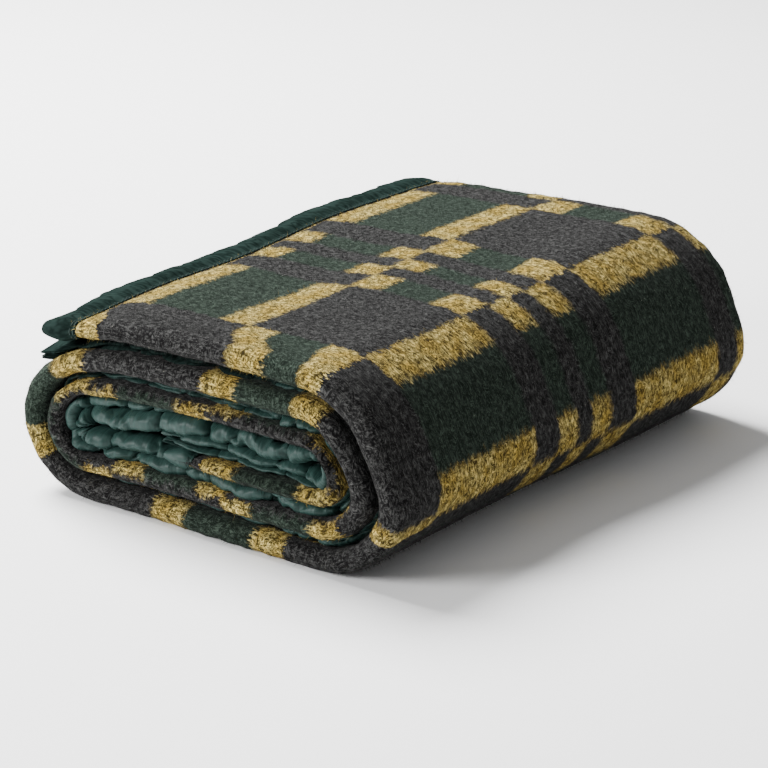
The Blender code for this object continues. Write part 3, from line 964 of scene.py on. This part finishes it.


def nylonMaterial(name, group):
    colour, creaseShade, shine = nylonDyes[name]
    material, tree, shader, flat = newMaterial(name, 0.48, {"Specular IOR Level": shine})
    patch = noise(tree, flat, nylonLook["patches"], 3.0)
    rough = math2(tree, "MULTIPLY", patch, nylonLook["roughMore"])
    rough = math2(tree, "ADD", rough, nylonLook["roughness"])
    link(tree, shader.inputs["Roughness"], rough)
    weave = groupNode(tree, group, {"Flat": flat, "Threads": nylonLook["threads"]})
    # sharp creases run in from the edge: the ridges of a stretched noise, and down in them the colour is
    # darkened as painted shade
    creases = noise(tree, stretched(tree, flat, 0.0, nylonLook["creases"]), 1.0, 3.0, 0.5)
    ridge = math2(tree, "ABSOLUTE", math2(tree, "SUBTRACT", creases, 0.5))
    opened = math2(tree, "MULTIPLY", softStep(tree, ridge, 0.03, 0.05), patch)      # 0 down in a crease, where painted shade darkens the colour; the patches also vary it at random
    link(tree, shader.inputs["Base Color"], mix(tree, opened, creaseShade, colour))
    height = math2(tree, "MULTIPLY", weave.outputs["Height"], nylonLook["weaveShare"])
    height = math2(tree, "ADD", height, ridge)
    bump(tree, shader, height, nylonLook["bump"], nylonLook["bumpDepth"])
    return material


def threadMaterial(name, group):
    material, tree, shader, flat = newMaterial(name, 0.6, {"Specular IOR Level": 0.05})
    ply = groupNode(tree, group, {"Flat": stretched(tree, flat, 0.7, (1, 1, 1)), "Threads": 14000.0})
    # darker in the valleys between the strands of the ply: painted shade
    shade = math2(tree, "ADD", math2(tree, "MULTIPLY", ply.outputs["Height"], 0.25), 0.5)
    link(tree, shader.inputs["Base Color"], mix(tree, shade, threadDye[1], threadDye[0]))
    bump(tree, shader, ply.outputs["Height"], 0.4, 0.1 * mm)
    return material


plaidGroup, weaveGroup = blockPlaid(), clothWeave()
woolCover = woolMaterial("plaidWool", plaidGroup)
nylonCover = nylonMaterial("greenNylon", weaveGroup)
mattShadeCover = nylonMaterial("mattNylonPaintedShade", weaveGroup)
threadCover = threadMaterial("greenThread", weaveGroup)
for piece in (woolRoll, woolFlap, fuzzRoll, fuzzFlap):
    piece.data.materials.append(woolCover)
for piece in (nylonRoll, nylonFlap, *tapes.values()):
    matt = piece in (tapes["outer"], tapes["a_flap"], tapes["b_flap"])      # matt, and painted darker as shade: these tapes lie on top in the key light
    piece.data.materials.append(mattShadeCover if matt else nylonCover)
for piece in threads.values():
    piece.data.materials.append(threadCover)
print("materials: plaid wool, nylon, thread")

# what each piece rides on, and the CAD piece it stands for

flapNodes = frame["record"]["behaviour"]["bodies"]["flap"]
stands = [
    (woolRoll, ["wool_face"]), (woolFlap, ["wool_face_flap"]), (fuzzRoll, []), (fuzzFlap, ["flap"]),
    (nylonRoll, ["nylon_backing"]), (nylonFlap, ["nylon_backing_flap"]),
    (tapes["inner"], ["inner_end_tape"]), (tapes["outer"], ["outer_end_tape"]),
    (threads["inner"], ["inner_end_thread_top", "inner_end_thread_under"]),
    (threads["outer"], ["outer_end_thread_top", "outer_end_thread_under"])]
for key in ("a", "b", "a_flap", "b_flap"):
    letter, ending = key[0], key[1:]
    stands.append((tapes[key], ["edge_tape_" + key]))
    nodes = ["edge_thread_" + letter + side + ending for side in ("_top", "_under")]
    stands.append((threads[key], nodes))
for piece, nodes in stands:
    if nodes == ["flap"] or (nodes and nodes[0] in flapNodes):
        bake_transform(piece)
    else:
        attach(piece, "roll")
    if nodes and nodes != ["flap"]:
        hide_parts(*nodes)
